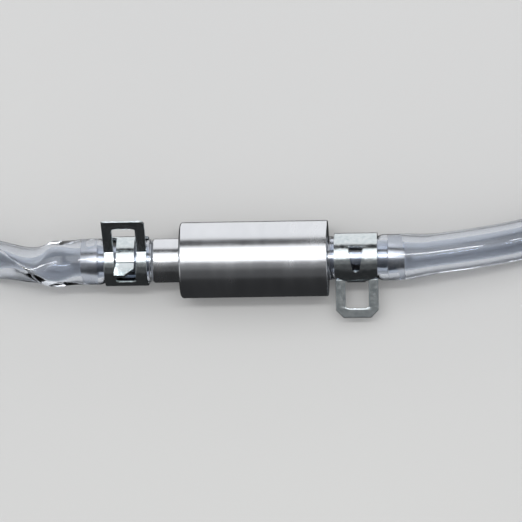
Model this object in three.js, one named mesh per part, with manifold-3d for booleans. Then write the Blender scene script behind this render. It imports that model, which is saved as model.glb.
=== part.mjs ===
// A small in-line fuel filter with a clear hose and a spring band clamp at each end.
// Millimetres, +Z up. The filter lies along X with its inlet towards -X, resting on Z = 0.
// The solids are built round the filter's own axis, and the whole group is then moved so that
// the origin is at the middle of the base of the box round the rigid parts.
import * as THREE from "three";
import { mergeVertices } from "three/addons/utils/BufferGeometryUtils.js";
import Module from "manifold-3d";

const wasm = await Module();
wasm.setup();

// Driving dimensions.
const SIDES = 32; // facets of the turned parts
const SMALL_SIDES = 20; // facets of the small rings
const GAP = 0.15; // clearance of a static fit
const FACE_GAP = 0.3; // clearance between faces that meet

const BODY_R = 7.6;
const BODY_HALF = 14.75;
const BODY_BEVEL = 0.45;
const BORE_R = 6.3;
const BORE_END = 11.75;
const SPRING_POCKET_R = 3.4;
const SPRING_POCKET_DEPTH = 1;
const PASSAGE_R = 1.8;

const NECK_R = 4.4;
const NECK_END = -20.5;
const NECK_BEVEL = 0.6;
const CAP_RECESS = 0.25;
const CAP_LENGTH = 5.4;
const GROOVE_START = 3.5;
const GROOVE_WIDTH = 1.3;
const GROOVE_R = 5.1;

const BARB_ROOT_R = 2.8;
const BARB_R = 3.4;
const BARB_TIP_R = 2.9;
const BARB_TIP_LENGTH = 3.4;
const BARB_RING_LENGTH = 3.2;
const INLET_BARB_TIP = -34.7;
const OUTLET_BARB_TIP = 30.1;

const O_RING_R = 5.7;
const O_RING_SECTION_R = 0.5;
const GASKET_THICK = 0.6;
const COLLAR_R = 6.1;
const COLLAR_THICK = 1.4;
const COLLAR_SPIGOT = 2;
const ELEMENT_BORE_R = 2.4;
const CORE_IN_R = 3.4;
const CORE_OUT_R = 3.9;
const CORE_LENGTH = 11.5;
const CORE_HOLE_R = 0.6;
const CORE_HOLE_ROWS = 3;
const MESH_THICK = 0.3;
const FERRULE_LENGTH = 1.5;
const FERRULE_THICK = 0.4;
const END_CAP_THICK = 1.1;
const BOSS_R = 2;
const BOSS_LENGTH = 1.5;
const SEAT_THICK = 0.4;

const SPRING_R = 2.7;
const SPRING_WIRE_R = 0.3;
const SPRING_TURNS = 4.5;

const HOSE_R = 4;
const HOSE_BORE_R = 2.5;
const HOSE_SIDES = 12;
const HOSE_STEPS = 14;
const CLAMPED_R = 4.2; // outside radius of a hose under its clamp
const SWOLLEN_R = 4.6; // outside radius of a hose on its barb, clear of the clamp
const BARBED_BORE_R = 3.62; // inside radius of a hose on its barb
const SLEEVE_OVERLAP = 1.5;

const BAND_IN_R = 4.45;
const BAND_THICK = 0.5;
const BAND_WIDTH = 8.6;
const BAND_STEP = 12; // degrees for each facet of a band
const TONGUE_WIDTH = 3.6;
const WINDOW_WIDTH = 4.6;
const HINGE_SPREAD = 10; // degrees from the middle of the back to each end of the fixed segment
const CUT_SPREAD = 2; // degrees of band left out at each cut
const WINDOW_CORNER = 0.55;
const WIDE_EAR_LENGTH = 8;
const WIDE_EAR_BAR = 1.95;
const SMALL_EAR_LENGTH = 3.5;
const SMALL_EAR_CHAMFER = 1.7;
const SMALL_EAR_FLARE = 0.3;
// Angles round a clamp in degrees, from the tongue's ear and on round the strip.
const SMALL_EAR_AT = -3.4;
const SMALL_EAR_LEAN = -50;
const SHOULDER_START = 68;
const SHOULDER_END = 92;
const KEYHOLE_START = 106;
const KEYHOLE_END = 169.6;
const KEYHOLE_NARROW = 0.8; // half widths
const KEYHOLE_WIDE = 1.4;
const BACK_AT = 190.1;
const WINDOW_START = 303;
const WIDE_EAR_AT = 383.6;
const INLET_EAR_LEAN = 408.6;
const OUTLET_EAR_LEAN = 404.6;
const INLET_CLAMP_X = -25.55;
const OUTLET_CLAMP_X = 20.35;
const OUTLET_CLAMP_TURN = -142;
const INLET_EAR_CHAMFERS = { "-1": 0.2, 1: 0.6 }; // by the side of the ear along X
const OUTLET_EAR_CHAMFERS = { "-1": 1.55, 1: 1.55 };

// Where the filter's axis lies over the origin.
const AXIS_X = 2.3;
const AXIS_Y = 2.03;
const AXIS_Z = BODY_R * Math.cos(Math.PI / SIDES);

// The hoses' routes as [x, y, z] from the filter's axis, straight out of the clamp and down to rest.
const INLET_ROUTE = [
  [-38, -0.2, 0], [-41.5, -0.42, -0.2], [-45, -0.4, -0.75], [-48, 0.05, -1.35], [-51, 0.6, -1.95],
  [-55, 1.1, -2.65], [-59, 1.5, -3.1], [-63, 1.85, -3.34], [-67, 2.3, -3.42], [-71, 2.87, -3.43],
  [-75, 3.53, -3.43], [-79, 4.32, -3.43], [-83, 5.25, -3.43], [-87, 6.3, -3.43], [-91, 7.4, -3.43],
  [-94.4, 8.35, -3.43],
];
const OUTLET_ROUTE = [
  [33.5, 0.25, 0], [37, 0.66, -0.1], [41, 1.12, -0.5], [45, 1.65, -1.15], [49, 2.27, -1.95],
  [53, 3, -2.65], [57, 3.85, -3.12], [61, 4.78, -3.36], [65, 5.8, -3.42], [69, 6.93, -3.43],
  [73, 8.14, -3.43], [77, 9.43, -3.43], [81, 10.8, -3.43], [85, 12.25, -3.43], [87.6, 13.23, -3.43],
];

// Materials.
const ALUMINIUM = { color: 0xc4c6ca, roughness: 0.3, metalness: 1 };
const ZINC = { color: 0xb9c2c0, roughness: 0.35, metalness: 1 };
const STEEL = { color: 0xa8a9ab, roughness: 0.4, metalness: 1 };
const RUBBER = { color: 0x1b1b1c, roughness: 0.8, metalness: 0 };
const CLEAR_PVC = {
  color: 0xc9d2dc, roughness: 0.15, metalness: 0, transparent: true, opacity: 0.45,
};

const filter = new THREE.Group();

function addMesh(name, geometry, finish) {
  const mesh = new THREE.Mesh(geometry, new THREE.MeshStandardMaterial(finish));
  mesh.name = name;
  filter.add(mesh);
  return mesh;
}

const radians = (degrees) => THREE.MathUtils.degToRad(degrees);

// A profile of [x, radius] points turned round the X axis, with a flat facet at top and bottom.
function turned(profile, sides) {
  const points = profile.map(([x, radius]) => new THREE.Vector2(radius, x));
  if (THREE.ShapeUtils.isClockWise(points)) points.reverse();
  const closed = [...points, points[0].clone()];
  return new THREE.LatheGeometry(closed, sides, Math.PI / sides).rotateZ(-Math.PI / 2);
}

// A plain ring from x = start to x = end.
function ring(start, end, inner, outer, sides) {
  return turned([[start, inner], [end, inner], [end, outer], [start, outer]], sides);
}

// A geometry as a solid that can be joined and cut.
function solid(geometry) {
  const bare = geometry.clone();
  bare.deleteAttribute("normal");
  bare.deleteAttribute("uv");
  const merged = mergeVertices(bare, 1e-4);
  return new wasm.Manifold(new wasm.Mesh({
    numProp: 3,
    vertProperties: merged.attributes.position.array,
    triVerts: new Uint32Array(merged.index.array),
  }));
}

// A solid's surface as a geometry again.
function geometryOf(shape) {
  const mesh = shape.getMesh();
  const geometry = new THREE.BufferGeometry();
  geometry.setAttribute("position", new THREE.BufferAttribute(mesh.vertProperties, mesh.numProp));
  geometry.setIndex(new THREE.BufferAttribute(mesh.triVerts, 1));
  geometry.computeVertexNormals();
  return geometry;
}

// Outer profile of a barb, from its root out to its tip, as [x, radius] points. way is +1 or -1.
function barbProfile(tip, way) {
  const edge = tip - way * BARB_TIP_LENGTH;
  const innerEdge = edge - way * (BARB_RING_LENGTH + 1.6);
  return [
    [innerEdge, BARB_ROOT_R],
    [innerEdge, BARB_R],
    [innerEdge + way * BARB_RING_LENGTH, BARB_ROOT_R],
    [edge, BARB_ROOT_R],
    [edge, BARB_R],
    [tip, BARB_TIP_R],
    [tip, PASSAGE_R],
  ];
}

function makeHousing() {
  const pocketEnd = BORE_END + SPRING_POCKET_DEPTH;
  const profile = [
    [-BODY_HALF, BORE_R],
    [BORE_END, BORE_R],
    [BORE_END, SPRING_POCKET_R],
    [pocketEnd, SPRING_POCKET_R],
    [pocketEnd, PASSAGE_R],
    ...barbProfile(OUTLET_BARB_TIP, 1).reverse(),
    [BODY_HALF, BARB_ROOT_R],
    [BODY_HALF, BODY_R - BODY_BEVEL],
    [BODY_HALF - BODY_BEVEL, BODY_R],
    [-BODY_HALF + BODY_BEVEL, BODY_R],
    [-BODY_HALF, BODY_R - BODY_BEVEL],
  ];
  addMesh("housing", turned(profile, SIDES), ALUMINIUM);
}

function makeInletCap() {
  const face = -BODY_HALF + CAP_RECESS;
  const plugR = BORE_R - GAP;
  const profile = [
    [face + CAP_LENGTH, PASSAGE_R],
    [face + CAP_LENGTH, plugR],
    [face + GROOVE_START + GROOVE_WIDTH, plugR],
    [face + GROOVE_START + GROOVE_WIDTH, GROOVE_R],
    [face + GROOVE_START, GROOVE_R],
    [face + GROOVE_START, plugR],
    [face, plugR],
    [face, NECK_R],
    [NECK_END + NECK_BEVEL, NECK_R],
    [NECK_END, NECK_R - NECK_BEVEL],
    [NECK_END, BARB_ROOT_R],
    ...barbProfile(INLET_BARB_TIP, -1),
  ];
  addMesh("inlet_cap", turned(profile, SIDES), ALUMINIUM);
  return face + CAP_LENGTH;
}

function makeCapORing() {
  const torus = new THREE.TorusGeometry(O_RING_R, O_RING_SECTION_R, 8, SIDES);
  const x = -BODY_HALF + CAP_RECESS + GROOVE_START + GROOVE_WIDTH / 2;
  addMesh("cap_o_ring", torus.rotateY(Math.PI / 2).translate(x, 0, 0), RUBBER);
}

// Guide lands: the flange keeps its full radius only between three shallow cuts.
function makeCollar(start) {
  const flangeEnd = start + COLLAR_THICK;
  const spigotR = CORE_IN_R - 2 * GAP;
  const blank = turned([
    [start, ELEMENT_BORE_R],
    [flangeEnd + COLLAR_SPIGOT, ELEMENT_BORE_R],
    [flangeEnd + COLLAR_SPIGOT, spigotR],
    [flangeEnd, spigotR],
    [flangeEnd, COLLAR_R],
    [start, COLLAR_R],
  ], SIDES);
  let collar = solid(blank);
  const cutDistance = COLLAR_R + 2.9;
  for (let i = 0; i < 3; i++) {
    const cutter = new THREE.CylinderGeometry(4, 4, 4 * COLLAR_THICK, SMALL_SIDES);
    cutter.rotateZ(Math.PI / 2);
    cutter.translate(start, 0, cutDistance);
    cutter.rotateX(i * 2 * Math.PI / 3);
    collar = collar.subtract(solid(cutter));
  }
  addMesh("element_collar", geometryOf(collar), ALUMINIUM);
  return flangeEnd;
}

function makeCore(start) {
  let core = solid(ring(start, start + CORE_LENGTH, CORE_IN_R, CORE_OUT_R, SIDES));
  const clearEnds = FERRULE_LENGTH + 1;
  const pitch = (CORE_LENGTH - 2 * clearEnds) / CORE_HOLE_ROWS;
  for (let row = 0; row < CORE_HOLE_ROWS; row++) {
    for (let i = 0; i < 3; i++) {
      const drill = new THREE.CylinderGeometry(CORE_HOLE_R, CORE_HOLE_R, 4 * CORE_OUT_R, 6);
      drill.rotateX((i / 3 + row / 6) * Math.PI);
      drill.translate(start + clearEnds + (row + 0.5) * pitch, 0, 0);
      core = core.subtract(solid(drill));
    }
  }
  addMesh("element_core", geometryOf(core), STEEL);
}

function makeMeshSleeve(start) {
  const inner = CORE_OUT_R + GAP;
  const outer = inner + MESH_THICK;
  const end = start + CORE_LENGTH;
  addMesh("filter_mesh", ring(start, end, inner, outer, SMALL_SIDES + 4), STEEL);
  const bandIn = outer + GAP;
  const bandOut = bandIn + FERRULE_THICK;
  const inletBand = ring(start, start + FERRULE_LENGTH, bandIn, bandOut, SMALL_SIDES + 4);
  const outletBand = ring(end - FERRULE_LENGTH, end, bandIn, bandOut, SMALL_SIDES + 4);
  addMesh("inlet_ferrule", inletBand, STEEL);
  addMesh("outlet_ferrule", outletBand, STEEL);
}

function makeEndCap(start) {
  const capEnd = start + END_CAP_THICK;
  const spigotR = CORE_IN_R - 2 * GAP;
  const profile = [
    [start - COLLAR_SPIGOT, 0],
    [start - COLLAR_SPIGOT, spigotR],
    [start, spigotR],
    [start, CORE_OUT_R + 0.9],
    [capEnd, CORE_OUT_R + 0.9],
    [capEnd, BOSS_R],
    [capEnd + BOSS_LENGTH, BOSS_R],
    [capEnd + BOSS_LENGTH, 0],
  ];
  addMesh("element_end_cap", turned(profile, SMALL_SIDES), ALUMINIUM);
  return capEnd;
}

class SpringLine extends THREE.Curve {
  constructor(start, length) {
    super();
    this.start = start;
    this.length = length;
  }

  getPoint(t, target = new THREE.Vector3()) {
    const turn = t * SPRING_TURNS * 2 * Math.PI;
    const x = this.start + t * this.length;
    return target.set(x, SPRING_R * Math.cos(turn), SPRING_R * Math.sin(turn));
  }
}

function makeSpring(seatEnd) {
  const start = seatEnd + FACE_GAP + SPRING_WIRE_R;
  const end = BORE_END + SPRING_POCKET_DEPTH - FACE_GAP - SPRING_WIRE_R;
  const wire = new THREE.Shape().absarc(0, 0, SPRING_WIRE_R, 0, 2 * Math.PI);
  const geometry = new THREE.ExtrudeGeometry(wire, {
    steps: Math.round(SPRING_TURNS * 12),
    curveSegments: 6,
    extrudePath: new SpringLine(start, end - start),
  });
  addMesh("bypass_spring", geometry, STEEL);
}

// The sleeve of a hose on its barb joined to the free stretch, which follows the route.
function makeHose(name, start, clamp, barbTip, way, route) {
  const clampIn = clamp - way * (BAND_WIDTH / 2 + 0.2);
  const clampOut = clamp + way * (BAND_WIDTH / 2 + 0.2);
  const line = new THREE.CatmullRomCurve3(
    route.map((point) => new THREE.Vector3(...point)), false, "centripetal");
  const join = route[0][0];
  const sleeveEnd = join + way * SLEEVE_OVERLAP;
  const profile = [
    [start, BARBED_BORE_R],
    [start, SWOLLEN_R - 0.2],
    [clampIn, CLAMPED_R],
    [clampOut, CLAMPED_R],
    [clampOut + way * 0.6, SWOLLEN_R],
    [barbTip, SWOLLEN_R],
    [join, HOSE_R],
    [sleeveEnd, HOSE_R],
    [sleeveEnd, HOSE_BORE_R],
    [join, HOSE_BORE_R],
    [barbTip + way, BARBED_BORE_R],
  ];
  const sleeve = solid(turned(profile, HOSE_SIDES));
  const section = new THREE.Shape().absarc(0, 0, HOSE_R - 0.01, 0, 2 * Math.PI);
  section.holes.push(new THREE.Path().absarc(0, 0, HOSE_BORE_R + 0.01, 0, 2 * Math.PI, true));
  const tube = new THREE.ExtrudeGeometry(section, {
    steps: HOSE_STEPS,
    curveSegments: HOSE_SIDES / 2,
    extrudePath: line,
  });
  addMesh(name, geometryOf(sleeve.add(solid(tube))), CLEAR_PVC);
}

// An outline of [y, z] points drawn across the filter's axis, thickened along X about x.
function plate(outline, x, width) {
  const shape = new THREE.Shape(outline.map(([y, z]) => new THREE.Vector2(y, z)));
  const across = new THREE.ExtrudeGeometry(shape, { depth: width, bevelEnabled: false });
  const turn = new THREE.Matrix4().makeBasis(
    new THREE.Vector3(0, 1, 0), new THREE.Vector3(0, 0, 1), new THREE.Vector3(1, 0, 0));
  return solid(across.applyMatrix4(turn).translate(x - width / 2, 0, 0));
}

// The point at a clamp's angle, which runs from +Z towards +Y, as [y, z].
function around(angle, radius) {
  return [radius * Math.sin(radians(angle)), radius * Math.cos(radians(angle))];
}

// A stretch of band from one angle to another.
function band(from, to, inner, outer, x, width) {
  const steps = Math.ceil((to - from) / BAND_STEP);
  const angles = Array.from({ length: steps + 1 }, (_, i) => from + (to - from) * i / steps);
  const outside = angles.map((angle) => around(angle, outer));
  const inside = angles.map((angle) => around(angle, inner)).reverse();
  return plate([...outside, ...inside], x, width);
}

// A flat ear that starts on the band at one angle and points along another.
function ear(at, lean, length, x, width) {
  const [y, z] = around(at, BAND_IN_R + BAND_THICK / 2);
  const [alongY, alongZ] = around(lean, 1);
  const half = BAND_THICK / 2;
  const corner = (out, side) => [y + out * alongY + side * alongZ, z + out * alongZ - side * alongY];
  return plate([
    corner(-half, half), corner(length, half), corner(length, -half), corner(-half, -half),
  ], x, width);
}

// A triangular prism that cuts a corner. Its outline is drawn on the surface that faces the angle
// lean and starts at the band's angle at, as [x, distance along the surface] points.
function cutter(at, lean, outline, depth) {
  const shape = new THREE.Shape(outline.map(([x, along]) => new THREE.Vector2(x, along)));
  const prism = new THREE.ExtrudeGeometry(shape, { depth, bevelEnabled: false });
  const [y, z] = around(at, BAND_IN_R + BAND_THICK / 2);
  const [alongY, alongZ] = around(lean, 1);
  const along = new THREE.Vector3(0, alongY, alongZ);
  const across = new THREE.Vector3(1, 0, 0);
  const through = new THREE.Vector3().crossVectors(across, along);
  prism.translate(0, 0, -depth / 2);
  prism.applyMatrix4(new THREE.Matrix4().makeBasis(across, along, through));
  return solid(prism.translate(0, y, z));
}

// The two halves and the back of one clamp about x = 0, as { name: solid }. The lean and the
// chamfers at its two corners are the wide ear's.
function clampSegments(lean, chamfers) {
  const outer = BAND_IN_R + BAND_THICK;
  const half = BAND_WIDTH / 2;
  const backStart = BACK_AT - HINGE_SPREAD;
  const backEnd = BACK_AT + HINGE_SPREAD;
  const reach = 1;

  let tongue = band(SMALL_EAR_AT, SHOULDER_END, BAND_IN_R, outer, 0, TONGUE_WIDTH);
  tongue = tongue.add(band(SHOULDER_START, backStart - CUT_SPREAD, BAND_IN_R, outer, 0, BAND_WIDTH));
  const shoulderSpan = outer * radians(SHOULDER_END - SHOULDER_START);
  for (const side of [-1, 1]) {
    const corner = [
      [side * TONGUE_WIDTH / 2, -reach],
      [side * (half + reach), -reach],
      [side * (half + reach), shoulderSpan],
      [side * half, shoulderSpan],
      [side * TONGUE_WIDTH / 2, 0],
    ];
    const outline = side > 0 ? corner : corner.reverse();
    tongue = tongue.subtract(cutter(SHOULDER_START, SHOULDER_START + 103, outline, 3));
  }
  const keyholeMid = (KEYHOLE_START + KEYHOLE_END) / 2;
  const keyholeHalf = BAND_IN_R * Math.sin(radians(KEYHOLE_END - keyholeMid));
  const keyholeSide = [
    [KEYHOLE_NARROW / 2, -keyholeHalf], [KEYHOLE_NARROW, -keyholeHalf + 0.5],
    [KEYHOLE_WIDE, keyholeHalf - 1], [KEYHOLE_WIDE, keyholeHalf],
  ];
  const keyhole = [...keyholeSide, ...keyholeSide.map(([x, along]) => [-x, along]).reverse()];
  tongue = tongue.subtract(cutter(keyholeMid, keyholeMid + 90, keyhole, 3));
  const smallEar = ear(SMALL_EAR_AT, SMALL_EAR_LEAN, SMALL_EAR_LENGTH, -SMALL_EAR_FLARE / 2,
    TONGUE_WIDTH + SMALL_EAR_FLARE);
  const flareCut = cutter(SMALL_EAR_AT, SMALL_EAR_LEAN, [
    [-half, -reach], [-TONGUE_WIDTH / 2, -reach], [-TONGUE_WIDTH / 2, 1],
    [-TONGUE_WIDTH / 2 - SMALL_EAR_FLARE, SMALL_EAR_LENGTH - 1],
    [-half, SMALL_EAR_LENGTH - 1],
  ], 3);
  const tipCut = cutter(SMALL_EAR_AT, SMALL_EAR_LEAN, [
    [half, SMALL_EAR_LENGTH + reach],
    [TONGUE_WIDTH / 2 - SMALL_EAR_CHAMFER - reach, SMALL_EAR_LENGTH + reach],
    [TONGUE_WIDTH / 2 + 0.01, SMALL_EAR_LENGTH - SMALL_EAR_CHAMFER],
    [half, SMALL_EAR_LENGTH - SMALL_EAR_CHAMFER],
  ], 3);
  tongue = tongue.add(smallEar.subtract(flareCut).subtract(tipCut));

  let wide = band(backEnd + CUT_SPREAD, WIDE_EAR_AT, BAND_IN_R, outer, 0, BAND_WIDTH);
  wide = wide.add(ear(WIDE_EAR_AT, lean, WIDE_EAR_LENGTH, 0, BAND_WIDTH));
  wide = wide.subtract(band(WINDOW_START, WIDE_EAR_AT + 12, 3, 6, 0, WINDOW_WIDTH));
  const windowEnd = WIDE_EAR_LENGTH - WIDE_EAR_BAR;
  const inner = WINDOW_WIDTH / 2;
  const window = [
    [-inner, -reach], [inner, -reach], [inner, windowEnd - WINDOW_CORNER],
    [inner - WINDOW_CORNER, windowEnd], [-inner + WINDOW_CORNER, windowEnd],
    [-inner, windowEnd - WINDOW_CORNER],
  ];
  wide = wide.subtract(cutter(WIDE_EAR_AT, lean, window, 2));
  for (const side of [-1, 1]) {
    const corner = [
      [side * (half - chamfers[side] - reach), WIDE_EAR_LENGTH + reach],
      [side * (half + reach), WIDE_EAR_LENGTH - chamfers[side] - reach],
      [side * (half + reach), WIDE_EAR_LENGTH + reach],
    ];
    const outline = side > 0 ? corner : corner.reverse();
    wide = wide.subtract(cutter(WIDE_EAR_AT, lean, outline, 2));
  }

  const back = band(backStart, backEnd, BAND_IN_R, outer, 0, BAND_WIDTH);
  return { back, wide_ear: wide, tongue_ear: tongue };
}

function makeClamp(name, x, turn, lean, chamfers) {
  for (const [segment, shape] of Object.entries(clampSegments(lean, chamfers))) {
    const mesh = addMesh(`${name}_${segment}`, geometryOf(shape), ZINC);
    mesh.position.x = x;
    mesh.rotation.x = -radians(turn);
  }
}

makeHousing();
const capEnd = makeInletCap();
makeCapORing();
const gasketStart = capEnd + FACE_GAP / 2;
const gasketEnd = gasketStart + GASKET_THICK;
addMesh("element_gasket", ring(gasketStart, gasketEnd, ELEMENT_BORE_R, 4.6, SMALL_SIDES), RUBBER);
const flangeEnd = makeCollar(gasketEnd + FACE_GAP / 2);
const coreStart = flangeEnd + FACE_GAP / 2;
makeCore(coreStart);
makeMeshSleeve(coreStart);
const endCapEnd = makeEndCap(coreStart + CORE_LENGTH + FACE_GAP / 2);
const seatStart = endCapEnd + FACE_GAP / 2;
const seatEnd = seatStart + SEAT_THICK;
addMesh("spring_seat", ring(seatStart, seatEnd, BOSS_R + GAP, SPRING_R + 0.7, SMALL_SIDES), STEEL);
makeSpring(seatEnd);
makeHose("inlet_hose", NECK_END - FACE_GAP, INLET_CLAMP_X, INLET_BARB_TIP, -1, INLET_ROUTE);
makeHose("outlet_hose", BODY_HALF + FACE_GAP, OUTLET_CLAMP_X, OUTLET_BARB_TIP, 1, OUTLET_ROUTE);
makeClamp("inlet_clamp", INLET_CLAMP_X, 0, INLET_EAR_LEAN, INLET_EAR_CHAMFERS);
makeClamp(
  "outlet_clamp", OUTLET_CLAMP_X, OUTLET_CLAMP_TURN, OUTLET_EAR_LEAN, OUTLET_EAR_CHAMFERS);

filter.position.set(AXIS_X, AXIS_Y, AXIS_Z);

export default filter;
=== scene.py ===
"""A small in-line fuel filter with a clear hose and a spring band clamp at each end."""
import math

import bmesh
import bpy
import numpy as np
from mathutils import Matrix, Vector


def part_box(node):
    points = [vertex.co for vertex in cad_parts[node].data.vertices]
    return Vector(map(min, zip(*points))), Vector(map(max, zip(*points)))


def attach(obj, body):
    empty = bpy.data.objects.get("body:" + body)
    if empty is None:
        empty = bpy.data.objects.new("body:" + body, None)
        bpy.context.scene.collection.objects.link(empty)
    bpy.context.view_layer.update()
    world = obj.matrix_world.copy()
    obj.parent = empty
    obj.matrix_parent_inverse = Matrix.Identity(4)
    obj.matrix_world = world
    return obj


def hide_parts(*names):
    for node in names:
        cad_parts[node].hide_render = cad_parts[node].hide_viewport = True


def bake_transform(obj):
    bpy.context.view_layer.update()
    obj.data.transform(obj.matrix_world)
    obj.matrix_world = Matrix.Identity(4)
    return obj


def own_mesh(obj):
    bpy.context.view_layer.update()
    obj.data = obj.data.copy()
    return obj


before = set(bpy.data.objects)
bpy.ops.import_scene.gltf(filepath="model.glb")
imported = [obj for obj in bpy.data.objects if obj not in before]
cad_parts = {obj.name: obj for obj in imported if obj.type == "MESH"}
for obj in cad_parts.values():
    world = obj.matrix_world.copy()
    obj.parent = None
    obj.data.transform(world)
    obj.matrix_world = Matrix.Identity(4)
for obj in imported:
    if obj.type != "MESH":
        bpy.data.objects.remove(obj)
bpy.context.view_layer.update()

# Sizes are in millimetres from the filter's own axis, and angles round it run from +Z towards +Y.
MM = 0.001
BODY_R = 7.6
BODY_HALF = 14.75
BORE_R = 6.3
BORE_END = 11.75
SPRING_POCKET_R = 3.4
SPRING_POCKET_END = 12.75
PASSAGE_R = 1.8
INLET_FACE_BEVEL = 0.35
OUTLET_FACE_BEVEL = 0.15
NECK_R = 4.4
NECK_END = -20.5
NECK_BEVEL = 0.5
CAP_FACE = -14.5
CAP_END = -9.1
PLUG_R = 6.15
GROOVE_R = 5.1
GROOVE_START = -11
GROOVE_END = -9.7
BARB_ROOT_R = 2.8
BARB_R = 3.4
BARB_TIP_R = 2.9
BARB_TIP_LENGTH = 3.4
BARB_RING_LENGTH = 3.2
BARB_RING_GAP = 1.6
INLET_BARB_TIP = -34.7
OUTLET_BARB_TIP = 30.1
EDGE_ROUNDING = 0.15

SPRING_R = 2.7
SPRING_WIRE_R = 0.3
SPRING_TURNS = 4.5

HOSE_R = 4
HOSE_BORE_R = 2.5
HOSE_START_R = 4.4
CLAMPED_R = 4.2
SWOLLEN_R = 4.6
CLING = 0.01  # how far a bore reaches into its barb, so that no air shows between them
BARBED_BORE_R = BARB_R - CLING
BARB_TIP_BORE_R = BARB_TIP_R - CLING
INLET_HOSE_START = -20.8
OUTLET_HOSE_START = 15.05
# What a flatness of 1 mm does to the radii of a hose and to its ridges.
FLAT_SPREAD = 0.9
FLAT_OUTSIDE_SQUEEZE = 0.6
FLAT_BORE_SQUEEZE = 0.9
FLAT_PINCH = 0.5

CLAMP_R = 4.7  # middle of a clamp's strip
CLAMP_HALF_WIDTH = 4.3
CLAMP_THICKNESS = 0.5
CLAMP_BEND = 0.45
BACK_AT = 190.1
TONGUE_EAR_AT = -3.4
TONGUE_EAR_LEAN = -50
TONGUE_EAR_LENGTH = 3.5
TONGUE_HALF_WIDTH = 1.8
TONGUE_TIP_HALF_WIDTH = 2.1
TONGUE_CHAMFER = 1.7
SHOULDER_START = 68
SHOULDER_END = 92
KEYHOLE_START = 106
KEYHOLE_END = 169.6
KEYHOLE_NARROW = 0.8  # half widths
KEYHOLE_WIDE = 1.4
KEYHOLE_NARROW_CORNER = 0.7
KEYHOLE_WIDE_CORNER = 0.35
WIDE_EAR_AT = 383.6
WIDE_EAR_LENGTH = 8
WIDE_EAR_BAR = 1.95
WINDOW_START = 303
WINDOW_BAND_HALF_WIDTH = 1.95
WINDOW_BEND_HALF_WIDTH = 2.2
WINDOW_EAR_HALF_WIDTH = 2.3
WINDOW_BAND_CORNER = 0.4
WINDOW_EAR_CORNER = 0.55
# Each clamp's place along X and turn, and its wide ear's lean and chamfers at its two corners.
CLAMPS = {
    "inlet": {"x": -25.55, "turn": 0, "lean": 408.6, "chamfers": (0.2, 0.6)},
    "outlet": {"x": 20.35, "turn": -142, "lean": 404.6, "chamfers": (1.55, 1.55)},
}

INLET_ROUTE = [
    (-38, -0.2, 0), (-41.5, -0.42, -0.2), (-45, -0.4, -0.75), (-48, 0.05, -1.35), (-51, 0.6, -1.95),
    (-55, 1.1, -2.65), (-59, 1.5, -3.1), (-63, 1.85, -3.34), (-67, 2.3, -3.42), (-71, 2.87, -3.43),
    (-75, 3.53, -3.43), (-79, 4.32, -3.43), (-83, 5.25, -3.43), (-87, 6.3, -3.43), (-91, 7.4, -3.43),
    (-94.4, 8.35, -3.43),
]
OUTLET_ROUTE = [
    (33.5, 0.25, 0), (37, 0.66, -0.1), (41, 1.12, -0.5), (45, 1.65, -1.15), (49, 2.27, -1.95),
    (53, 3, -2.65), (57, 3.85, -3.12), (61, 4.78, -3.36), (65, 5.8, -3.42), (69, 6.93, -3.43),
    (73, 8.14, -3.43), (77, 9.43, -3.43), (81, 10.8, -3.43), (85, 12.25, -3.43), (87.6, 13.23, -3.43),
]

housing_low, housing_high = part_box("housing")
AXIS = (housing_low + housing_high) / 2
AXIS.x = housing_low.x + BODY_HALF * MM


def place(point):
    """A point in millimetres from the filter's axis, in the frame's metres."""
    return AXIS + Vector(point) * MM


def around(angle, radius):
    """The point at an angle in degrees round the axis, as (y, z)."""
    turn = math.radians(angle)
    return radius * math.sin(turn), radius * math.cos(turn)


# Camera, light and floor.


def make_camera():
    """Almost straight down, with +Y up in the picture, through a long lens."""
    distance = 0.7
    seen_width = 0.1044
    middle = place((1.3, -0.38, 0))
    tilt = math.radians(3.3)
    roll = math.radians(-0.9)
    back = Vector((math.sin(tilt), 0, math.cos(tilt)))
    level = Vector((math.cos(tilt), 0, -math.sin(tilt)))
    north = Vector((0, 1, 0))
    right = level * math.cos(roll) + north * math.sin(roll)
    up = north * math.cos(roll) - level * math.sin(roll)
    data = bpy.data.cameras.new("camera")
    data.lens = data.sensor_width * distance / seen_width
    camera = bpy.data.objects.new("camera", data)
    bpy.context.collection.objects.link(camera)
    turn = Matrix((right, up, back)).transposed().to_4x4()
    camera.matrix_world = Matrix.Translation(middle + back * distance) @ turn
    bpy.context.scene.camera = camera


def light_panel(name, start, end, brightness, lean=0, width=1.6):
    """A soft panel a metre away that the filter sees between two angles round its axis. It can lean
    towards +X by an angle."""
    middle = math.radians((start + end) / 2)
    height = 2 * math.tan(math.radians(abs(end - start) / 2))
    data = bpy.data.lights.new(name, "AREA")
    data.shape = "RECTANGLE"
    data.size = width
    data.size_y = height
    data.energy = brightness * math.pi * width * height
    panel = bpy.data.objects.new(name, data)
    panel.visible_camera = False
    bpy.context.collection.objects.link(panel)
    above = Vector((0, math.sin(middle), math.cos(middle)))
    away = above * math.cos(math.radians(lean)) + Vector((math.sin(math.radians(lean)), 0, 0))
    along_floor = above.cross((1, 0, 0))
    turn = Matrix((along_floor.cross(away), along_floor, away)).transposed().to_4x4()
    panel.matrix_world = Matrix.Translation(AXIS + away) @ turn


def make_world(pale, fill):
    """Pale for the floor and behind its edge, and dim for everything that the metal reflects."""
    world = bpy.data.worlds.new("world")
    bpy.context.scene.world = world
    world.use_nodes = True
    tree = world.node_tree
    path = tree.nodes.new("ShaderNodeLightPath")
    level = tree.nodes.new("ShaderNodeMapRange")
    level.inputs["To Min"].default_value = pale
    level.inputs["To Max"].default_value = fill
    tree.links.new(path.outputs["Is Glossy Ray"], level.inputs["Value"])
    tree.links.new(level.outputs["Result"], tree.nodes["Background"].inputs["Strength"])
    tree.nodes["Background"].inputs["Color"].default_value = (0.97, 0.98, 1, 1)


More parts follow.
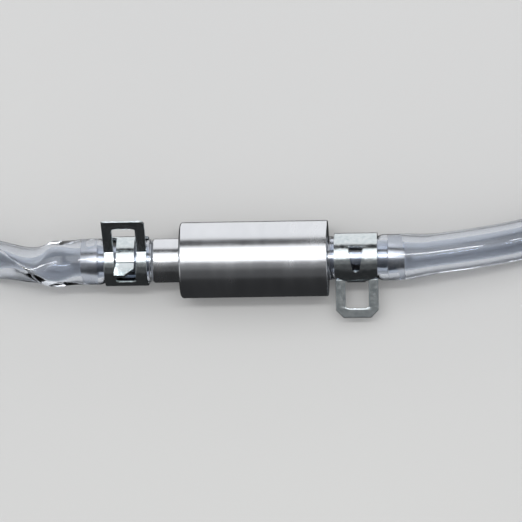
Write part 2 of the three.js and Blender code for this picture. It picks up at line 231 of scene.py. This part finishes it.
def make_floor():
    half = 3
    mesh = bpy.data.meshes.new("floor")
    corners = [(-half, -half, 0), (half, -half, 0), (half, half, 0), (-half, half, 0)]
    mesh.from_pydata(corners, [], [(0, 1, 2, 3)])
    floor = bpy.data.objects.new("floor", mesh)
    floor.data.materials.append(floor_paint())
    floor.visible_glossy = False
    bpy.context.collection.objects.link(floor)


# Materials.


def new_material(name, settings):
    """A material with these shader inputs set the same all over."""
    material = bpy.data.materials.new(name)
    material.use_nodes = True
    shader = material.node_tree.nodes["Principled BSDF"]
    for socket, value in settings.items():
        shader.inputs[socket].default_value = value
    return material, material.node_tree, shader


def noise(tree, grain, detail=3, stretch=(1, 1, 1)):
    """Noise with a grain in millimetres, drawn out by the stretch along X, Y and Z."""
    coordinates = tree.nodes.new("ShaderNodeTexCoord")
    mapping = tree.nodes.new("ShaderNodeMapping")
    mapping.inputs["Scale"].default_value = [1 / s for s in stretch]
    texture = tree.nodes.new("ShaderNodeTexNoise")
    texture.inputs["Scale"].default_value = 1 / (grain * MM)
    texture.inputs["Detail"].default_value = detail
    tree.links.new(coordinates.outputs["Object"], mapping.inputs["Vector"])
    tree.links.new(mapping.outputs["Vector"], texture.inputs["Vector"])
    return texture.outputs["Fac"]


def spread(tree, value, low, high):
    """The middle of a noise's range spread out from low to high."""
    noise_low, noise_high = 0.3, 0.7
    level = tree.nodes.new("ShaderNodeMapRange")
    level.inputs["From Min"].default_value = noise_low
    level.inputs["From Max"].default_value = noise_high
    level.inputs["To Min"].default_value = low
    level.inputs["To Max"].default_value = high
    tree.links.new(value, level.inputs["Value"])
    return level.outputs["Result"]


def two_tone(tree, shader, value, first, second):
    """Colours the shader from the first colour to the second by the noise."""
    mix = tree.nodes.new("ShaderNodeMix")
    mix.data_type = "RGBA"
    mix.inputs["A"].default_value = (*first, 1)
    mix.inputs["B"].default_value = (*second, 1)
    tree.links.new(spread(tree, value, 0, 1), mix.inputs["Factor"])
    tree.links.new(mix.outputs["Result"], shader.inputs["Base Color"])


def bump(tree, height, depth, under=None):
    """Bumps of that depth in millimetres, over others if given."""
    node = tree.nodes.new("ShaderNodeBump")
    node.inputs["Distance"].default_value = depth * MM
    tree.links.new(height, node.inputs["Height"])
    if under is not None:
        tree.links.new(under, node.inputs["Normal"])
    return node.outputs["Normal"]


def turned_aluminium():
    """Bright metal with fine lines round the X axis and a slight sparkle."""
    material, tree, shader = new_material("turned aluminium", {"Metallic": 1})
    lines = noise(tree, 0.3, 3, (1, 60, 60))
    grain = noise(tree, 0.18, 2)
    patches = noise(tree, 3, 3, (1, 3, 3))
    under = bump(tree, lines, 0.0035)
    tree.links.new(bump(tree, grain, 0.006, under), shader.inputs["Normal"])
    tree.links.new(spread(tree, patches, 0.2, 0.28), shader.inputs["Roughness"])
    two_tone(tree, shader, patches, (0.76, 0.78, 0.82), (0.83, 0.85, 0.89))
    return material


def zinc_plate():
    """Plated spring steel, mottled, with a faint blue-green tint."""
    material, tree, shader = new_material("zinc plate", {"Metallic": 1})
    mottle = noise(tree, 0.8, 4)
    grain = noise(tree, 0.2, 2)
    under = bump(tree, mottle, 0.014)
    tree.links.new(bump(tree, grain, 0.005, under), shader.inputs["Normal"])
    tree.links.new(spread(tree, mottle, 0.12, 0.24), shader.inputs["Roughness"])
    two_tone(tree, shader, mottle, (0.62, 0.69, 0.72), (0.76, 0.81, 0.83))
    return material


def clear_pvc():
    """Clear hose, faintly blue, with shallow waves left by its making."""
    material, tree, shader = new_material("clear pvc", {
        "Base Color": (0.83, 0.87, 0.94, 1), "IOR": 1.5, "Transmission Weight": 1})
    waves = noise(tree, 1.6, 2, (4, 1, 1))
    tree.links.new(bump(tree, waves, 0.008), shader.inputs["Normal"])
    tree.links.new(spread(tree, waves, 0.01, 0.05), shader.inputs["Roughness"])
    return material


def cut_pvc():
    """The same hose where a knife cut it, dull and half clear."""
    material, tree, shader = new_material("cut pvc", {
        "Roughness": 0.5, "IOR": 1.5, "Transmission Weight": 0.5})
    marks = noise(tree, 0.4)
    tree.links.new(bump(tree, marks, 0.02), shader.inputs["Normal"])
    two_tone(tree, shader, marks, (0.76, 0.8, 0.85), (0.84, 0.86, 0.9))
    return material


def nitrile_rubber():
    material, tree, shader = new_material("nitrile rubber", {"Roughness": 0.6})
    speckle = noise(tree, 0.3)
    tree.links.new(bump(tree, speckle, 0.01), shader.inputs["Normal"])
    two_tone(tree, shader, speckle, (0.015, 0.015, 0.015), (0.04, 0.04, 0.04))
    return material


def stainless_steel():
    material, tree, shader = new_material("stainless steel", {"Metallic": 1})
    drawn = noise(tree, 0.25, 3, (1, 20, 20))
    tree.links.new(bump(tree, drawn, 0.01), shader.inputs["Normal"])
    tree.links.new(spread(tree, drawn, 0.24, 0.4), shader.inputs["Roughness"])
    two_tone(tree, shader, drawn, (0.55, 0.55, 0.54), (0.68, 0.68, 0.67))
    return material


def woven_wire():
    """Fine square weave on the mesh sleeve, by its length and the angle round its axis."""
    wire_pitch = 0.25
    wires_round = 52
    material, tree, shader = new_material("woven wire", {"Metallic": 1, "Roughness": 0.35})
    coordinates = tree.nodes.new("ShaderNodeTexCoord")
    parts = tree.nodes.new("ShaderNodeSeparateXYZ")
    tree.links.new(coordinates.outputs["Object"], parts.inputs["Vector"])

    def calculate(operation, first, second=None):
        node = tree.nodes.new("ShaderNodeMath")
        node.operation = operation
        for socket, value in zip(node.inputs, (first, second)):
            if isinstance(value, (int, float)):
                socket.default_value = value
            elif value is not None:
                tree.links.new(value, socket)
        return node.outputs["Value"]

    across = calculate("SUBTRACT", parts.outputs["Y"], AXIS.y)
    above = calculate("SUBTRACT", parts.outputs["Z"], AXIS.z)
    angle = calculate("ARCTAN2", across, above)
    warp = calculate("SINE", calculate("MULTIPLY", parts.outputs["X"], math.pi / (wire_pitch * MM)))
    weft = calculate("SINE", calculate("MULTIPLY", angle, wires_round))
    height = calculate("MULTIPLY", warp, weft)
    tree.links.new(bump(tree, height, 0.05), shader.inputs["Normal"])
    two_tone(tree, shader, height, (0.12, 0.12, 0.12), (0.66, 0.66, 0.65))
    return material


def floor_paint():
    material, tree, shader = new_material("floor", {"Roughness": 0.9})
    cloud = noise(tree, 300, 2)
    two_tone(tree, shader, cloud, (0.48, 0.48, 0.48), (0.52, 0.52, 0.51))
    return material


# Meshes.


def make_piece(name, points, faces, material):
    """A piece of points in millimetres from the filter's axis, with its faces turned outwards."""
    mesh = bpy.data.meshes.new(name)
    mesh.from_pydata([place(point) for point in points], [], faces)
    work = bmesh.new()
    work.from_mesh(mesh)
    bmesh.ops.recalc_face_normals(work, faces=work.faces)
    work.to_mesh(mesh)
    work.free()
    mesh.shade_smooth()
    piece = bpy.data.objects.new(name, mesh)
    bpy.context.collection.objects.link(piece)
    mesh.materials.append(material)
    return piece


def loft(name, rings, closed, material):
    """A surface through rings of points. A closed one joins its last ring to its first."""
    size = len(rings[0])
    count = len(rings)
    faces = []
    for i in range(count if closed else count - 1):
        here, there = i * size, (i + 1) % count * size
        for k in range(size):
            after = (k + 1) % size
            faces.append((here + k, here + after, there + after, there + k))
    if not closed:
        faces.append(tuple(range(size)))
        faces.append(tuple(range((count - 1) * size, count * size)))
    points = [point for ring in rings for point in ring]
    return make_piece(name, points, faces, material)


def weight_normals(piece):
    """Flat faces stay flat in the shading, and only the narrow rounded edges turn."""
    modifier = piece.modifiers.new("normals", "WEIGHTED_NORMAL")
    modifier.weight = 100
    modifier.keep_sharp = True


def softened(outline, radius):
    """A closed outline of (x, radius) points with its corners rounded off."""
    longest_cut = 0.4  # of an edge
    corners = [Vector(point) for point in outline]
    soft = []
    for i, corner in enumerate(corners):
        before = corners[i - 1] - corner
        after = corners[(i + 1) % len(corners)] - corner
        cut = min(radius, longest_cut * before.length, longest_cut * after.length)
        start = corner + before.normalized() * cut
        end = corner + after.normalized() * cut
        for t in (0, 0.25, 0.5, 0.75, 1):
            soft.append(start.lerp(corner, t).lerp(corner.lerp(end, t), t))
    return soft


def turned(name, outline, material):
    """An outline of (x, radius) points turned round the filter's axis."""
    turns = 128
    rings = []
    for x, r in softened(outline, EDGE_ROUNDING):
        rings.append([(x, *around(360 * k / turns, r)) for k in range(turns)])
    piece = loft(name, rings, True, material)
    weight_normals(piece)
    return piece


def barb_outline(tip, way):
    """The outside of a barb from its root to its tip and into its passage. way is +1 or -1."""
    edge = tip - way * BARB_TIP_LENGTH
    ring_end = edge - way * BARB_RING_GAP
    ring_start = ring_end - way * BARB_RING_LENGTH
    return [
        (ring_start, BARB_ROOT_R),
        (ring_start, BARB_R),
        (ring_end, BARB_ROOT_R),
        (edge, BARB_ROOT_R),
        (edge, BARB_R),
        (tip, BARB_TIP_R),
        (tip, PASSAGE_R),
    ]


def make_housing(material):
    outline = [
        (-BODY_HALF, BORE_R),
        (BORE_END, BORE_R),
        (BORE_END, SPRING_POCKET_R),
        (SPRING_POCKET_END, SPRING_POCKET_R),
        (SPRING_POCKET_END, PASSAGE_R),
        *reversed(barb_outline(OUTLET_BARB_TIP, 1)),
        (BODY_HALF, BARB_ROOT_R),
        (BODY_HALF, BODY_R - OUTLET_FACE_BEVEL),
        (BODY_HALF - OUTLET_FACE_BEVEL, BODY_R),
        (-BODY_HALF + INLET_FACE_BEVEL, BODY_R),
        (-BODY_HALF, BODY_R - INLET_FACE_BEVEL),
    ]
    housing = turned("housing_turned", outline, material)
    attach(housing, "filter")
    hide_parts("housing")


def make_inlet_cap(material):
    outline = [
        (CAP_END, PASSAGE_R),
        (CAP_END, PLUG_R),
        (GROOVE_END, PLUG_R),
        (GROOVE_END, GROOVE_R),
        (GROOVE_START, GROOVE_R),
        (GROOVE_START, PLUG_R),
        (CAP_FACE, PLUG_R),
        (CAP_FACE, NECK_R),
        (NECK_END + NECK_BEVEL, NECK_R),
        (NECK_END, NECK_R - NECK_BEVEL),
        (NECK_END, BARB_ROOT_R),
        *barb_outline(INLET_BARB_TIP, -1),
    ]
    cap = turned("inlet_cap_turned", outline, material)
    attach(cap, "filter")
    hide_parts("inlet_cap")


def coil(start, end):
    """Rings of points round the spring's wire, which winds from x = start to x = end."""
    steps = 180
    wire_sides = 12
    side = Vector((1, 0, 0))
    rings = []
    for i in range(steps + 1):
        y, z = around(360 * SPRING_TURNS * i / steps, 1)
        centre = Vector((start + (end - start) * i / steps, y * SPRING_R, z * SPRING_R))
        out = Vector((0, y, z))
        ring = []
        for k in range(wire_sides):
            angle = 2 * math.pi * k / wire_sides
            ring.append(centre + (out * math.cos(angle) + side * math.sin(angle)) * SPRING_WIRE_R)
        rings.append(ring)
    return rings


def make_spring(material):
    """The bypass spring, which shortens as the element lifts, as a helix of fixed length between the
    CAD spring's ends.
    """
    low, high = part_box("bypass_spring")
    start = (low.x - AXIS.x) / MM + SPRING_WIRE_R
    end = (high.x - AXIS.x) / MM - SPRING_WIRE_R
    spring = loft("bypass_spring_coil", coil(start, end), False, material)
    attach(spring, "filter")
    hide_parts("bypass_spring")
    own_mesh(spring)


# Hoses.


def smooth_line(points, spacing):
    """A curve through the points, as points about that far apart."""
    line = [Vector(point) for point in points]
    ends = [2 * line[0] - line[1], *line, 2 * line[-1] - line[-2]]
    curve = []
    for a, b, c, d in zip(ends, ends[1:], ends[2:], ends[3:]):
        steps = math.ceil((c - b).length / spacing)
        for i in range(steps):
            t = i / steps
            bend = (2 * a - 5 * b + 4 * c - d) * t**2 + (3 * b - 3 * c + d - a) * t**3
            curve.append((2 * b + (c - a) * t + bend) / 2)
    return [*curve, line[-1]]


def along(keys, x, reach=0.6):
    """The value at x between keys of (x, value), rounded off where the keys meet."""
    samples = 7
    places, values = zip(*sorted(keys))
    near = np.linspace(x - reach, x + reach, samples)
    return float(np.mean(np.interp(near, places, values)))


def hose_ring(centre, tangent, long_r, short_r, pinch, ridge):
    """An oval round the hose's line, its long way at the ridge angle from +Z towards +Y. The pinch
    sharpens its two ridges."""
    sides = 96
    across = Vector((0, 1, 0)) - tangent * tangent.y
    across.normalize()
    above = tangent.cross(across)
    if above.z < 0:
        above.negate()
    y, z = around(ridge, 1)
    long_way = above * z + across * y
    short_way = above * -y + across * z
    ring = []
    for k in range(sides):
        angle = 2 * math.pi * k / sides
        out = long_r * math.cos(angle)
        side = short_r * math.sin(angle) * abs(math.sin(angle)) ** pinch
        ring.append(centre + long_way * out + short_way * side)
    return ring


def hose_rings(line, outside, bore, flatness=((0, 0),), ridge=((0, 0),)):
    """The rings of a hose's outside and of its bore along its line. The keys give, by x, its outside
    radius, its bore radius, how much it is flattened and the angle of its long way."""
    outer, inner = [], []
    for i, centre in enumerate(line):
        tangent = (line[min(i + 1, len(line) - 1)] - line[max(i - 1, 0)]).normalized()
        flat = along(flatness, centre.x)
        angle = along(ridge, centre.x)
        pinch = FLAT_PINCH * flat
        for rings, keys, reach, squeeze in (
            (outer, outside, 0.3, FLAT_OUTSIDE_SQUEEZE),
            (inner, bore, 0.2, FLAT_BORE_SQUEEZE),
        ):
            radius = along(keys, centre.x, reach)
            long_r = radius + FLAT_SPREAD * flat
            short_r = radius - squeeze * flat
            rings.append(hose_ring(centre, tangent, long_r, short_r, pinch, angle))
    return outer, inner


def make_hose(name, start, exit_x, route, materials, **keys):
    """A hose from its start on the barb along its route, with the keys that its rings take."""
    spacing = 0.5
    straight_points = 4
    straight = np.linspace(start, route[0][0], straight_points, endpoint=False)
    line = smooth_line([*[(x, 0, 0) for x in straight], *route], spacing)
    outer, inner = hose_rings(line, **keys)
    rings = [*outer, *reversed(inner)]
    clear, cut = materials
    hose = loft(f"{name}_clear", rings, True, clear)
    hose.data.materials.append(cut)
    sides = len(rings[0])
    for end in (len(outer) - 1, len(rings) - 1):
        for face in hose.data.polygons[end * sides:(end + 1) * sides]:
            face.material_index = 1
    hose.data.set_sharp_from_angle(angle=math.radians(60))
    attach(hose, "filter")
    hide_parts(name)


def make_hoses(materials):
    make_hose(
        "inlet_hose",
        start=INLET_HOSE_START,
        exit_x=-30.05,
        route=INLET_ROUTE,
        materials=materials,
        outside=[
            (INLET_HOSE_START, HOSE_START_R), (-21.3, CLAMPED_R), (-29.9, CLAMPED_R),
            (-30.6, SWOLLEN_R), (INLET_BARB_TIP, SWOLLEN_R), (-38.5, HOSE_R), (-95, HOSE_R),
        ],
        bore=[
            (INLET_HOSE_START, BARBED_BORE_R), (-31.3, BARBED_BORE_R),
            (INLET_BARB_TIP, BARB_TIP_BORE_R), (-38.5, HOSE_BORE_R), (-95, HOSE_BORE_R),
        ],
        flatness=[(-35.5, 0), (-39, 0.7), (-47, 0.9), (-53, 0.7), (-60, 0.2), (-66, 0)],
        ridge=[
            (-36, -100), (-39, -90), (-41, -74), (-42.5, -46), (-44, -18), (-46.5, 2), (-51, 35),
            (-57, 75), (-66, 110),
        ],
    )
    make_hose(
        "outlet_hose",
        start=OUTLET_HOSE_START,
        exit_x=24.85,
        route=OUTLET_ROUTE,
        materials=materials,
        outside=[
            (OUTLET_HOSE_START, HOSE_START_R), (15.8, CLAMPED_R), (24.8, CLAMPED_R),
            (25.4, SWOLLEN_R), (30.3, SWOLLEN_R), (36.5, HOSE_R), (90, HOSE_R),
        ],
        bore=[
            (OUTLET_HOSE_START, BARBED_BORE_R), (26.7, BARBED_BORE_R),
            (OUTLET_BARB_TIP, BARB_TIP_BORE_R), (34, HOSE_BORE_R), (90, HOSE_BORE_R),
        ],
    )


# Clamps.


def band_distance(angle):
    """How far round the band an angle is from the back."""
    return math.radians(abs(angle - BACK_AT)) * CLAMP_R


def strip_line(end, lean, length):
    """The middle line of half a clamp as (distance, y, z) rows: round the band from the back to an
    angle, round the bend, and out along the ear."""
    spacing = 0.3
    bend_rows = 8
    way = 1 if end > BACK_AT else -1
    corner_at = band_distance(end)
    bend_at = corner_at - CLAMP_BEND
    rows = []
    for distance in np.linspace(0, bend_at, round(bend_at / spacing)):
        angle = BACK_AT + way * math.degrees(distance / CLAMP_R)
        rows.append((distance, *around(angle, CLAMP_R)))
    corner = Vector(around(end, CLAMP_R))
    outward = Vector(around(lean, 1))
    before = Vector(rows[-1][1:])
    after = corner + outward * CLAMP_BEND
    for t in np.linspace(0, 1, bend_rows)[1:]:
        point = before.lerp(corner, t).lerp(corner.lerp(after, t), t)
        rows.append((bend_at + 2 * CLAMP_BEND * t, *point))
    tip = corner + outward * length
    rows.append((corner_at + length, *tip))
    return rows, corner_at


def rounded_end(at, way, half, radius):
    """Keys for the half width of a hole that ends there, with its corners rounded."""
    keys = []
    for turn in np.radians([0, 30, 60, 90]):
        inset = radius * (1 - math.sin(turn))
        keys.append((at - way * inset, half - radius * (1 - math.cos(turn))))
    return keys


def strip_rows(line, keys):
    """The distances at which a strip needs points: those of its line and of its keys."""
    nearest = 0.01
    wanted = sorted([*(row[0] for row in line), *(key[0] for key in keys)])
    rows = [wanted[0]]
    for distance in wanted:
        if distance > rows[-1] + nearest and distance <= line[-1][0]:
            rows.append(distance)
    return rows


def strip_points(line, rows, left, right, hole, clamp):
    """Two rows of nine points at each distance: the outer surface's and the inner one's."""
    look = 0.02
    distances, ys, zs = zip(*line)

    def half_width(keys, distance):
        return float(np.interp(distance, *zip(*sorted(keys))))

    def middle(distance):
        return Vector((np.interp(distance, distances, ys), np.interp(distance, distances, zs)))

    turn = Matrix.Rotation(-math.radians(clamp["turn"]), 2)
    points = []
    for distance in rows:
        ahead = middle(min(distance + look, distances[-1])) - middle(max(distance - look, 0))
        out = Vector((ahead.y, -ahead.x)).normalized() * CLAMP_THICKNESS / 2
        low, high, gap = (half_width(keys, distance) for keys in (left, right, hole))
        columns = [-low, -(low + gap) / 2, -gap, -gap / 2, 0, gap / 2, gap, (high + gap) / 2, high]
        for side in (1, -1):
            y, z = turn @ (middle(distance) + out * side)
            points += [(clamp["x"] + x, y, z) for x in columns]
    return points


def strip_faces(rows, hole_start, hole_end):
    """The faces between a strip's points, with its hole left out and every edge closed except the
    one at the back, where the other half goes on."""
    columns = 9
    hole_columns = range(2, 6)

    def filled(row, column):
        if not (0 <= row < len(rows) - 1 and 0 <= column < columns - 1):
            return False
        between = (rows[row] + rows[row + 1]) / 2
        return not (column in hole_columns and hole_start < between < hole_end)

    def corner(row, column, side):
        return (2 * row + side) * columns + column

    faces = []
    for row in range(len(rows) - 1):
        for column in range(columns - 1):
            if not filled(row, column):
                continue
            for side in (0, 1):
                faces.append((
                    corner(row, column, side), corner(row + 1, column, side),
                    corner(row + 1, column + 1, side), corner(row, column + 1, side)))
            edges = [
                (filled(row, column - 1), (row, column), (row + 1, column)),
                (filled(row, column + 1), (row, column + 1), (row + 1, column + 1)),
                (filled(row - 1, column) or row == 0, (row, column), (row, column + 1)),
                (filled(row + 1, column), (row + 1, column), (row + 1, column + 1)),
            ]
            for joined, a, b in edges:
                if not joined:
                    faces.append((corner(*a, 0), corner(*b, 0), corner(*b, 1), corner(*a, 1)))
    return faces


def strip(name, line, left, right, hole, clamp, material):
    """Half a clamp: a strip along the line, with keys of (distance, half width) for its left and
    right edges and its hole."""
    rows = strip_rows(line, [*left, *right, *hole])
    points = strip_points(line, rows, left, right, hole, clamp)
    faces = strip_faces(rows, min(hole)[0], max(hole)[0])
    half = make_piece(name, points, faces, material)
    bevel = half.modifiers.new("edges", "BEVEL")
    bevel.width = EDGE_ROUNDING * MM
    bevel.segments = 3
    bevel.limit_method = "ANGLE"
    bevel.angle_limit = math.radians(50)
    weight_normals(half)
    return half


def bend_with(half):
    """Bakes the half's placement into its mesh. It does not bend the half from the back of the band,
    which stays, into its arm, which turns.
    """
    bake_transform(half)


def make_wide_half(side, clamp, material):
    line, corner_at = strip_line(WIDE_EAR_AT, clamp["lean"], WIDE_EAR_LENGTH)
    tip = corner_at + WIDE_EAR_LENGTH
    edges = [
        [(0, CLAMP_HALF_WIDTH), (tip - cut, CLAMP_HALF_WIDTH), (tip, CLAMP_HALF_WIDTH - cut)]
        for cut in clamp["chamfers"]
    ]
    window = [
        *rounded_end(band_distance(WINDOW_START), -1, WINDOW_BAND_HALF_WIDTH, WINDOW_BAND_CORNER),
        (corner_at - 1, WINDOW_BEND_HALF_WIDTH),
        (corner_at + 1, WINDOW_EAR_HALF_WIDTH),
        *rounded_end(tip - WIDE_EAR_BAR, 1, WINDOW_EAR_HALF_WIDTH, WINDOW_EAR_CORNER),
    ]
    wide = strip(f"{side}_clamp_wide_half", line, *edges, window, clamp, material)
    bend_with(wide)
    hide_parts(f"{side}_clamp_wide_ear", f"{side}_clamp_back")


def make_tongue_half(side, clamp, material):
    line, corner_at = strip_line(TONGUE_EAR_AT, TONGUE_EAR_LEAN, TONGUE_EAR_LENGTH)
    tip = corner_at + TONGUE_EAR_LENGTH
    shoulder = [
        (0, CLAMP_HALF_WIDTH),
        (band_distance(SHOULDER_END), CLAMP_HALF_WIDTH),
        (band_distance(SHOULDER_START), TONGUE_HALF_WIDTH),
    ]
    left = [
        *shoulder,
        (corner_at + 1, TONGUE_HALF_WIDTH),
        (tip - 1, TONGUE_TIP_HALF_WIDTH),
        (tip, TONGUE_TIP_HALF_WIDTH),
    ]
    right = [
        *shoulder,
        (tip - TONGUE_CHAMFER, TONGUE_HALF_WIDTH),
        (tip, TONGUE_HALF_WIDTH - TONGUE_CHAMFER),
    ]
    wide_end = band_distance(KEYHOLE_END)
    keyhole = [
        *rounded_end(wide_end, -1, KEYHOLE_WIDE, KEYHOLE_WIDE_CORNER),
        (wide_end + 1, KEYHOLE_WIDE),
        *rounded_end(band_distance(KEYHOLE_START), 1, KEYHOLE_NARROW, KEYHOLE_NARROW_CORNER),
    ]
    tongue = strip(f"{side}_clamp_tongue_half", line, left, right, keyhole, clamp, material)
    bend_with(tongue)
    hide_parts(f"{side}_clamp_tongue_ear")


def finish_inner_parts(aluminium, rubber, steel):
    """Materials for the CAD solids that stay as they are, inside the housing."""
    finishes = {
        "cap_o_ring": (rubber, "nitrile_rubber"),
        "element_gasket": (rubber, "nitrile_rubber"),
        "element_collar": (aluminium, "turned_aluminium"),
        "element_end_cap": (aluminium, "turned_aluminium"),
        "element_core": (steel, "stainless_steel"),
        "filter_mesh": (woven_wire(), "stainless_steel"),
        "inlet_ferrule": (steel, "stainless_steel"),
        "outlet_ferrule": (steel, "stainless_steel"),
        "spring_seat": (steel, "stainless_steel"),
    }
    for name, (material, slot) in finishes.items():
        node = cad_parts[name]
        node.data.materials.clear()
        node.data.materials.append(material)


make_camera()
make_hoses((clear_pvc(), cut_pvc()))
aluminium = turned_aluminium()
steel = stainless_steel()
zinc = zinc_plate()
make_housing(aluminium)
make_inlet_cap(aluminium)
make_spring(steel)
for side, clamp in CLAMPS.items():
    make_wide_half(side, clamp, zinc)
    make_tongue_half(side, clamp, zinc)
finish_inner_parts(aluminium, nitrile_rubber(), steel)
make_floor()
make_world(pale=0.55, fill=0.03)
light_panel("key", -5, 41, brightness=1.4)
light_panel("streak", 10, 14, brightness=18, width=0.8)
light_panel("side", 64, 155, brightness=0.93)
light_panel("fill", -28, -5, brightness=0.16)
light_panel("low_fill", -58, -28, brightness=0.05)
light_panel("left_end", -35, 35, brightness=0.5, lean=-72, width=0.9)
light_panel("right_end", -35, 35, brightness=0.5, lean=72, width=0.9)
bpy.context.scene.view_settings.view_transform = "Standard"
